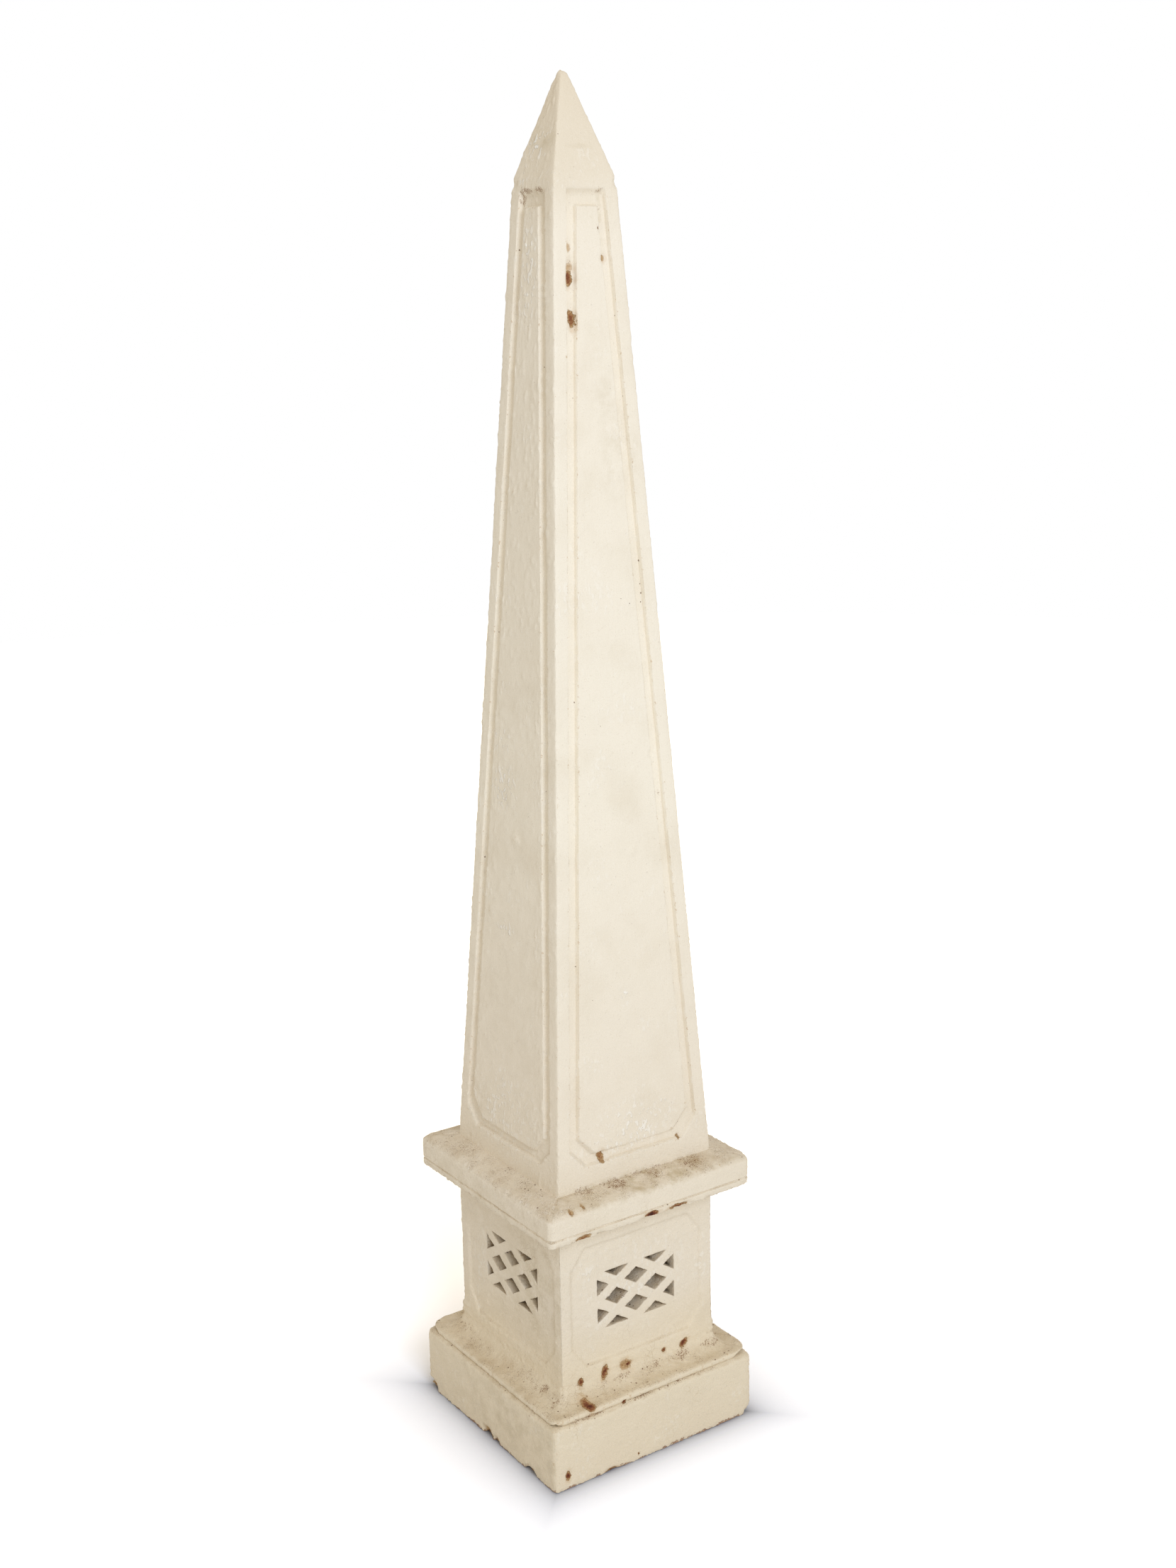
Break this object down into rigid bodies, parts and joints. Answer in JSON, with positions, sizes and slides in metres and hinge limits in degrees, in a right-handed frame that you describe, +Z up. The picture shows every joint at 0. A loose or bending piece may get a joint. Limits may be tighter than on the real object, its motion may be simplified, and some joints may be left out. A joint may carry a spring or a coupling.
{
  "type": "garden obelisk",
  "caption": "Tall hollow terracotta obelisk, its tapering shaft channelled round raised fields, on a square pedestal with moulded cornice, pierced lattice panels and plain plinth.",
  "frame": {"origin": "middle of the underside of the plinth, on the ground", "axes": "+Z up the obelisk to its tip; the front side faces -Y and the left side faces -X"},
  "size_m": [0.282, 0.282, 1.52],
  "materials": {
    "painted_terracotta": "matte, old cream paint over terracotta"
  },
  "bodies": {
    "root": {"plinth_front": "painted_terracotta", "plinth_right": "painted_terracotta", "plinth_back": "painted_terracotta", "plinth_left": "painted_terracotta", "cove_front": "painted_terracotta", "cove_right": "painted_terracotta", "cove_back": "painted_terracotta", "cove_left": "painted_terracotta", "dado_front": "painted_terracotta", "dado_right": "painted_terracotta", "dado_back": "painted_terracotta", "dado_left": "painted_terracotta", "cornice_front": "painted_terracotta", "cornice_right": "painted_terracotta", "cornice_back": "painted_terracotta", "cornice_left": "painted_terracotta", "shaft_front": "painted_terracotta", "shaft_right": "painted_terracotta", "shaft_back": "painted_terracotta", "shaft_left": "painted_terracotta", "tip_front": "painted_terracotta", "tip_right": "painted_terracotta", "tip_back": "painted_terracotta", "tip_left": "painted_terracotta"}
  },
  "joints": []
}
